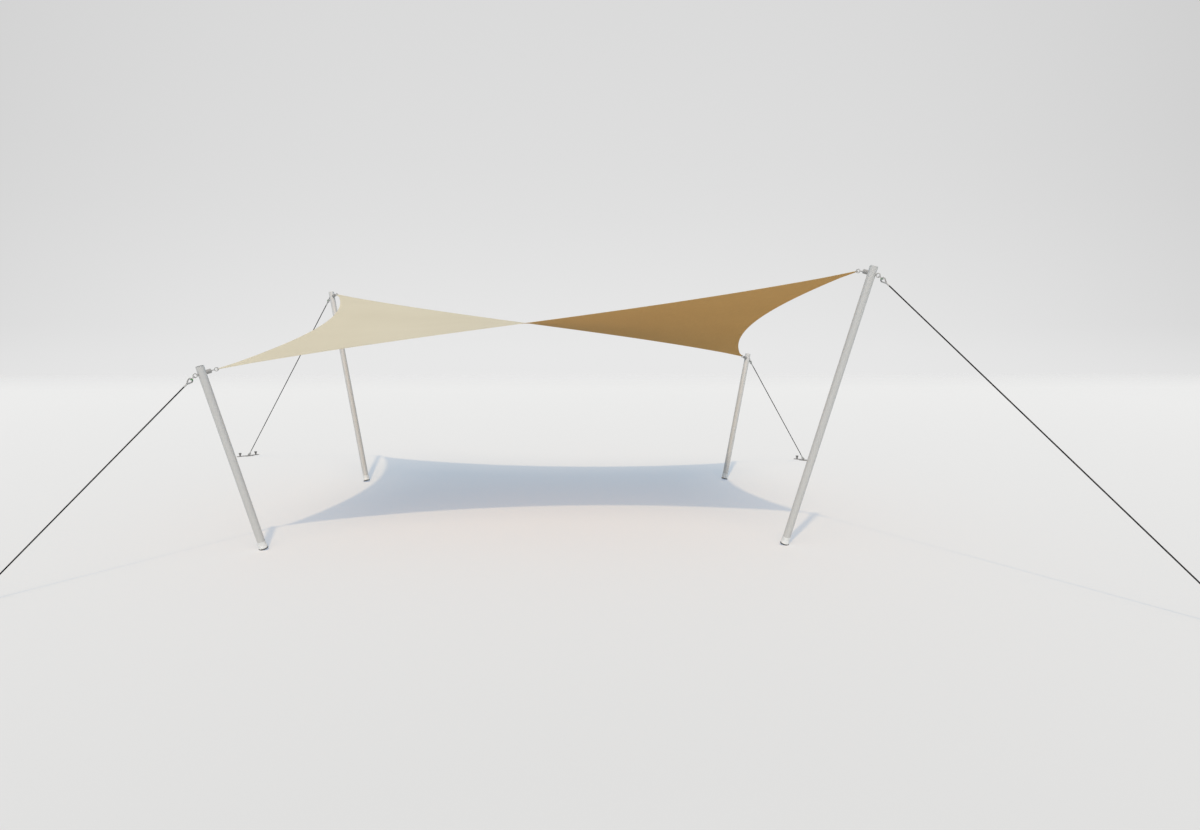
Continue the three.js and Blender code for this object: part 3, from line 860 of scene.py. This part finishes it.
for corner in CORNERS:
    name = corner["name"]
    middle, axis = eyelet_of(name)
    in_mouth = corner["bolt"] @ Vector((-LINK["start"], 0, 0))
    to_ring = middle - corner["inward"] * (LINK["ring"] + LINK["play"]) - in_mouth
    reach, ring = to_ring.length, LINK["ring"]
    rod = bar_x(LINK["rod"], 0, reach - ring)
    link = carve(rod, "UNION", wire_ring(ring, LINK["wire"], reach))
    place = frame_along(in_mouth, to_ring, UP)
    piece(f"{name}_tip_link", link, place, rig_steel, f"tip_link_{name}")
    bore, barrel, flange = EYELET["bore"], EYELET["barrel"], EYELET["flange"]
    near, far = EYELET["face"], EYELET["face"] + EYELET["lip"]
    # from the barrel out under the flange, round its edge, and over its domed face to the bore
    half = [(barrel, near), (flange - 0.0004, near), (flange, near + 0.0004)]
    half += [(flange - 0.0010, far), (bore + 0.0022, far + 0.0003)]
    half += [(bore + 0.0006, far - 0.0004), (bore, near)]
    grommet = turned(half + [(r, -z) for r, z in reversed(half)], 40, closed=True)
    place = frame_along(middle, axis.orthogonal(), axis)
    piece(f"{name}_eyelet", grommet, place, rig_steel, f"eyelet_{name}")

# ------------------------ shackles
# A galvanised bow shackle hangs in the bolt's outer eye. Its green painted pin passes through
# both lugs and through the guy's thimble.
SHACKLE = {"wire": 0.004, "bow": 0.012, "crown": 0.0096, "bend_steps": 24, "pin_at": 0.049}
LUG = {"radius": 0.008, "width": 0.009, "hole": 0.0045}
PIN = {"radius": 0.004, "past": 0.003, "head": 0.007, "head_width": 0.005, "gap": 0.0004}

pin_paint = Finish("pin_paint", "pin_paint", 0.4)
pin_paint.mottle(180, (0.022, 0.230, 0.040), (0.036, 0.310, 0.056))
pin_paint.grain(500, 0.1, 0.0003)


def bar_y(radius, start, end, sides=24, edge=0.0005):
    """A bar along Y through the shackle's lugs, with eased ends."""
    across = Matrix.Translation((SHACKLE["pin_at"], 0, 0)) @ Matrix.Rotation(math.pi / 2, 4, "Z")
    return moved(bar_x(radius, start, end, sides, edge), across)


for corner in CORNERS:
    name, place = corner["name"], corner["guy"]
    bow, crown, pin_at = SHACKLE["bow"], SHACKLE["crown"], SHACKLE["pin_at"]
    path = [Vector((pin_at, -bow, 0))]
    for k in range(SHACKLE["bend_steps"] + 1):
        angle = -math.pi / 2 - math.pi * k / SHACKLE["bend_steps"]
        path.append(Vector((crown + bow + bow * math.cos(angle), bow * math.sin(angle), 0)))
    path.append(Vector((pin_at, bow, 0)))
    outline = circle(SHACKLE["wire"], 16)
    inside, outside = bow - LUG["width"] / 2, bow + LUG["width"] / 2
    lugs = [bar_y(LUG["radius"], *ends) for ends in ((inside, outside), (-outside, -inside))]
    shackle = carve(sweep(path, lambda k: outline), "UNION", *lugs)
    shackle = carve(shackle, "DIFFERENCE", bar_y(LUG["hole"], -2 * outside, 2 * outside))
    piece(f"{name}_shackle", shackle, place, rig_steel, f"shackle_{name}")
    start = outside + PIN["gap"]
    shank = bar_y(PIN["radius"], -outside - PIN["past"], start + 2 * WELD)
    head = bar_y(PIN["head"], start, start + PIN["head_width"], 28, 0.0012)
    pin = carve(shank, "UNION", head)
    piece(f"{name}_shackle_pin", pin, place, pin_paint, f"shackle_pin_{name}")

# ------------------------ rope ends
# At each end the rope's cover is stripped. The bare wire goes round a grooved steel thimble and
# back into a pressed ferrule.
THIMBLE = {"inner": 0.018, "apex": 0.060, "end": 0.061, "seat": 0.0013, "steps": 36}
BARE_ROPE = {"radius": 0.0036, "ridge": 0.0006, "lay": 0.030, "step": 0.0016, "end": 0.068}
FERRULE = {"radius": 0.0075, "start": 0.062, "top_end": 0.1008, "low_end": 0.1218}
# half a ferrule's pressed outline, as distances in from its radius and from its end
PRESSED = [(0.0010, 0), (0, 0.0015), (0, 0.008), (0.0006, 0.0095), (0.0006, 0.0115), (0, 0.013)]
# half the thimble's groove, as distances outward from its inner face and up from its middle
HALF_GROOVE = [(0.0013, 0.0), (0.0020, 0.0040), (0.0044, 0.0054), (0.0042, 0.0062)]
HALF_GROOVE += [(0.0012, 0.0056), (0.0, 0.0042)]
GROOVE = [(out, -up) for out, up in reversed(HALF_GROOVE[1:])] + HALF_GROOVE
CROWN_PAST_EYE = 0.0075  # from the low thimble's crown to the plate's eye

bare_wire = Finish("bare_wire", "rig_steel", 0.55, metallic=0.15)
bare_wire.mottle(400, (0.340, 0.352, 0.365), (0.460, 0.476, 0.492))
bare_wire.grain(2500, 0.3, 0.0002)


def teardrop(offset, stop):
    """Points round a teardrop that lies offset outside the thimble's inner face."""
    inner = THIMBLE["inner"]
    r = inner + offset
    # the straight sides point at a tip that moves out as the drop grows
    slant = math.asin(inner / (THIMBLE["apex"] - inner))
    tip = inner + r / math.sin(slant)
    touch = math.pi / 2 - slant
    start = Vector((stop, (tip - stop) * math.tan(slant), 0))
    points = [start]
    for k in range(THIMBLE["steps"] + 1):
        angle = touch + (2 * math.pi - 2 * touch) * k / THIMBLE["steps"]
        points.append(Vector((inner + r * math.cos(angle), r * math.sin(angle), 0)))
    points.append(Vector((stop, -start.y, 0)))
    return points


def even_path(points, step):
    """The same path with evenly spaced points."""
    made, spare = [points[0]], 0.0
    for one, other in zip(points, points[1:]):
        length = (other - one).length
        while spare + length >= step:
            share = (step - spare) / length
            one = one.lerp(other, share)
            length = (other - one).length
            spare = 0.0
            made.append(one)
        spare += length
    return made


def rope_end(name, which, place, end):
    """A thimble, its loop of bare rope and its ferrule, with the crown's inner face at x = 0."""
    node = f"cable_end_{which}_{name}"
    thimble = sweep(teardrop(0, THIMBLE["end"]), lambda k: [(-out, up) for out, up in GROOVE])
    piece(f"{name}_{which}_thimble", thimble, place, rig_steel, node)
    drop = teardrop(THIMBLE["seat"] + BARE_ROPE["radius"], BARE_ROPE["end"])
    step = BARE_ROPE["step"]
    loop = sweep(even_path(drop, step), lambda k: strand_section(BARE_ROPE, k * step))
    piece(f"{name}_{which}_rope_loop", loop, place, bare_wire, node)
    r, start = FERRULE["radius"], FERRULE["start"]
    profile = [(0, start)] + [(r - a, start + b) for a, b in PRESSED]
    profile += [(r - a, end - b) for a, b in reversed(PRESSED)] + [(0, end)]
    ferrule = moved(turned(profile, 28), LAID_ALONG_X)
    piece(f"{name}_{which}_ferrule", ferrule, place, rig_steel, node)


for corner in CORNERS:
    top_start = SHACKLE["pin_at"] - PIN["radius"] - PIN["gap"]
    low_start = corner["guy_length"] - CROWN_PAST_EYE
    facing_back = Matrix.Rotation(math.pi, 4, "Z")
    top_place = corner["guy"] @ Matrix.Translation((top_start, 0, 0)) @ UPRIGHT
    low_place = corner["guy"] @ Matrix.Translation((low_start, 0, 0)) @ facing_back
    rope_end(corner["name"], "top", top_place, FERRULE["top_end"])
    rope_end(corner["name"], "low", low_place, FERRULE["low_end"])

# ------------------------ ground plates and pegs
# A galvanised steel plate lies on the ground across each guy. An upright ring is welded to its
# wider middle, on the tent's side, and two steel pegs with flared heads are driven through it.
PLATE = {"length": 0.390, "width": 0.060, "thickness": 0.008, "corner": 0.014, "edge": 0.0010}
TONGUE = {"width": 0.148, "reach": 0.078, "corner": 0.022}
BEND_STEPS = 6
PLATE_RING = {"radius": 0.014, "wire": 0.004}
WELD_BEAD = {"foot": 0.0085, "crest": 0.0045, "sunk": 0.001, "height": 0.003}
PEG = {"apart": 0.140, "hole": 0.0112, "stem": 0.010, "head": 0.024, "height": 0.064}

plate_steel = Finish("plate_steel", "anchor_steel", 0.5, metallic=0.55)
plate_steel.mottle(60, (0.250, 0.255, 0.260), (0.380, 0.385, 0.390))
plate_steel.grain(350, 0.3, 0.0004)
peg_steel = Finish("peg_steel", "anchor_steel", 0.55, metallic=0.5)
peg_steel.mottle(90, (0.165, 0.168, 0.172), (0.265, 0.268, 0.273))
peg_steel.grain(400, 0.3, 0.0004)


def plate_outline(inset):
    """The plate's outline seen from above, drawn in by inset. The tongue points along -X."""
    x, y, r = PLATE["width"] / 2, PLATE["length"] / 2, PLATE["corner"]
    tip, half, bend = TONGUE["reach"], TONGUE["width"] / 2, TONGUE["corner"]
    outline = []

    def corner_at(cx, cy, radius, quarter):
        for k in range(BEND_STEPS + 1):
            angle = (quarter + k / BEND_STEPS) * math.pi / 2
            away = radius - inset
            outline.append((cx + away * math.cos(angle), cy + away * math.sin(angle)))

    corner_at(x - r, y - r, r, 0)
    corner_at(r - x, y - r, r, 1)
    outline.append((inset - x, half - inset))
    corner_at(bend - tip, half - bend, bend, 1)
    return outline + [(a, -b) for a, b in reversed(outline)]


for corner in CORNERS:
    name, place = corner["name"], corner["anchor"]
    thick, edge, hole = PLATE["thickness"], PLATE["edge"], PEG["hole"]
    levels = ((0, edge / 2), (edge / 2, 0), (thick - edge, 0), (thick, edge))
    plate = skin([[(x, y, z) for x, y in plate_outline(inset)] for z, inset in levels])
    peg_places = [Matrix.Translation((0, side * PEG["apart"], 0)) for side in (-1, 1)]
    drills = [moved(turned([(hole, -0.01), (hole, 0.02)], 28), there) for there in peg_places]
    plate = carve(plate, "DIFFERENCE", *drills)
    over_tongue = Matrix.Translation((-PEGS_BEYOND_EYE, 0, 0))
    eye_up = Matrix.Translation((0, 0, PLATE_EYE_HEIGHT))
    eye = moved(wire_ring(**PLATE_RING, x=0), over_tongue @ eye_up)
    low, high = thick - WELD_BEAD["sunk"], thick + WELD_BEAD["height"]
    bead = turned([(0, low), (WELD_BEAD["foot"], low), (WELD_BEAD["crest"], high), (0, high)], 20)
    plate = carve(plate, "UNION", eye, moved(bead, over_tongue))
    # under the plate the ring is ground away
    plate = carve(plate, "DIFFERENCE", below_ground(place))
    piece(f"{name}_ground_plate", plate, place, plate_steel, f"anchor_plate_{name}")
    stem, head, top = PEG["stem"], PEG["head"], PEG["height"]
    # the stem, the flare of the head, and its rim
    profile = [(0, 0), (stem, 0), (stem, 0.013), (stem + 0.0008, 0.0165)]
    profile += [(head - 0.0010, top - 0.0085), (head, top - 0.0065)]
    profile += [(head, top - 0.0020), (head - 0.0018, top), (0, top)]
    for letter, there in zip("ab", peg_places):
        peg = turned(profile, 40)
        piece(f"{name}_peg_{letter}", peg, place @ there, peg_steel, f"peg_{letter}_{name}")

# ------------------------ floor, backdrop and light
# A plain pale studio floor runs into a pale backdrop. Two lamps, a sharp one and a soft one, shine
# the same way from behind the viewer.
LIGHT_TRAVELS = (0.052, 0.727, -1.0)
LAMPS = {
    "sun": {"strength": 1.555, "softness": 1.6, "colour": (1.0, 0.8125, 0.5875)},
    "soft_sun": {"strength": 0.972, "softness": 38.0, "colour": (1.0, 0.86, 0.82)},
}
SKY = {"colour": (0.37, 0.455, 0.525, 1), "strength": 1.0}
# the floor lies a hair under the ground plates, and fades out from one distance to another
FLOOR = {"size": 70.0, "drop": 0.0003, "fade_behind": (22, 34), "fade_around": (50, 60)}
# the glow is painted light: it lightens and blues the floor's shadows; the warm matt colour offsets
# it
FLOOR_PAINT = {"painted_glow": (0.265, 0.317, 0.409), "colour": (0.510, 0.470, 0.383)}
FLOOR_BOUNCE = (0.78, 0.765, 0.715, 1)
# the floor is a little darker towards the front: its shade grows with each doubling of distance
FLOOR_SHADE = {"from": (0.43, -9.83, 0), "near": 3.7, "far": 31.0, "shade": 0.955, "gain": 0.039}
# the backdrop darkens upwards, by (height, shade) steps, and towards the sides
BACKDROP = [(-0.02, 0.807), (0.14, 0.745), (0.20, 0.730), (0.36, 0.708), (0.90, 0.660)]
BACKDROP_SIDES = {"drop": 1.24, "bend": 1.53, "most": 0.24, "below": -0.09, "above": 0.01}

for name, lamp in LAMPS.items():
    sun_data = bpy.data.lights.new(name, "SUN")
    sun_data.energy = lamp["strength"]
    sun_data.angle = math.radians(lamp["softness"])
    sun_data.color = lamp["colour"]
    sun = bpy.data.objects.new(name, sun_data)
    sun.rotation_mode = "QUATERNION"
    sun.rotation_quaternion = Vector(LIGHT_TRAVELS).to_track_quat("-Z", "Y")
    scene.collection.objects.link(sun)


def seen(tree):
    """Whether the surface is looked at, straight or in a reflection or through glass."""
    path = tree.node("ShaderNodeLightPath", {}).outputs
    mirrored = tree.maths("MAXIMUM", path["Is Glossy Ray"], path["Is Transmission Ray"])
    return tree.maths("MAXIMUM", path["Is Camera Ray"], mirrored)


world = bpy.data.worlds.new("backdrop")
world.use_nodes = True
world.node_tree.nodes.clear()
scene.world = world
sky = Tree(world.node_tree)
where = sky.node("ShaderNodeTexCoord", {}).outputs["Generated"]
direction = sky.node("ShaderNodeSeparateXYZ", {"Vector": where}).outputs
height = direction["Z"]
low, top = BACKDROP[0][0], BACKDROP[-1][0]
level = sky.node("ShaderNodeValToRGB", {"Fac": sky.ramp(height, low, top, 0, 1)})
stops = level.color_ramp.elements
for _ in BACKDROP[1:-1]:
    stops.new(0.5)
for stop, (at, shade) in zip(stops, BACKDROP):
    stop.position = (at - low) / (top - low)
    stop.color = (shade, shade, shade, 1)
level_at = sky.node("ShaderNodeSeparateColor", {"Color": level.outputs["Color"]}).outputs["Red"]
# a hair over one keeps the root from failing straight up and straight down
level_part = sky.maths("SUBTRACT", 1.0001, sky.maths("MULTIPLY", height, height))
facing = sky.maths("DIVIDE", direction["Y"], sky.maths("SQRT", level_part))
aside = sky.maths("SUBTRACT", 1.0, facing, clamp=True)
bent = sky.maths("POWER", aside, BACKDROP_SIDES["bend"])
drop = sky.maths("MULTIPLY", bent, BACKDROP_SIDES["drop"])
drop = sky.maths("MINIMUM", drop, BACKDROP_SIDES["most"])
raised = sky.ramp(height, BACKDROP_SIDES["below"], BACKDROP_SIDES["above"], 0, 1)
kept = sky.maths("SUBTRACT", 1.0, sky.maths("MULTIPLY", drop, raised))
backdrop = sky.node("ShaderNodeBackground", {"Color": sky.maths("MULTIPLY", level_at, kept)})
lamp = sky.node("ShaderNodeBackground", {"Color": SKY["colour"], "Strength": SKY["strength"]})
choice = {"Fac": seen(sky), 1: lamp.outputs["Background"], 2: backdrop.outputs["Background"]}
choice = sky.node("ShaderNodeMixShader", choice).outputs["Shader"]
sky.node("ShaderNodeOutputWorld", {"Surface": choice})

floor_paint = bpy.data.materials.new("floor_paint")
floor_paint.use_nodes = True
floor_paint.node_tree.nodes.clear()
paint = Tree(floor_paint.node_tree)
spot = paint.node("ShaderNodeNewGeometry", {}).outputs["Position"]
ends = {0: spot, 1: FLOOR_SHADE["from"]}
ahead = paint.node("ShaderNodeVectorMath", ends, operation="DISTANCE").outputs["Value"]
near, far = math.log2(FLOOR_SHADE["near"]), math.log2(FLOOR_SHADE["far"])
least = FLOOR_SHADE["shade"]
most = least + FLOOR_SHADE["gain"] * (far - near)
shade = paint.ramp(paint.maths("LOGARITHM", ahead, 2.0), near, far, least, most)


def shaded(kind, colour):
    """One of the floor's shaders, in a colour that follows the floor's shade."""
    colour = paint.node("ShaderNodeVectorMath", {0: colour, "Scale": shade}, operation="SCALE")
    return paint.node(kind, {"Color": colour.outputs["Vector"]}).outputs[0]


glow = shaded("ShaderNodeEmission", FLOOR_PAINT["painted_glow"])
matt = shaded("ShaderNodeBsdfDiffuse", FLOOR_PAINT["colour"])
lit = paint.node("ShaderNodeAddShader", {0: glow, 1: matt}).outputs["Shader"]
# far off, the floor gives way softly to the backdrop
back = paint.node("ShaderNodeSeparateXYZ", {"Vector": spot}).outputs["Y"]
behind = paint.ramp(back, *FLOOR["fade_behind"], 0, 1)
around = paint.ramp(ahead, *FLOOR["fade_around"], 0, 1)
clear = paint.node("ShaderNodeBsdfTransparent", {}).outputs["BSDF"]
fade = {"Fac": paint.maths("MAXIMUM", behind, around), 1: lit, 2: clear}
fade = paint.node("ShaderNodeMixShader", fade).outputs["Shader"]
bounce = paint.node("ShaderNodeBsdfDiffuse", {"Color": FLOOR_BOUNCE}).outputs["BSDF"]
both = paint.node("ShaderNodeMixShader", {"Fac": seen(paint), 1: bounce, 2: fade}).outputs["Shader"]
paint.node("ShaderNodeOutputMaterial", {"Surface": both})

bm = bmesh.new()
bmesh.ops.create_circle(bm, cap_ends=True, segments=96, radius=FLOOR["size"])
floor = stand("floor", moved(bm, Matrix.Translation((0, 0, -FLOOR["drop"]))))
floor.data.materials.append(floor_paint)
floor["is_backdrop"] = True
scene.view_settings.view_transform = "Standard"

boxes = {"cad": cad_box, "visual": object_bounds()}
{k: [list(corner) for corner in box] for k, box in boxes.items()}
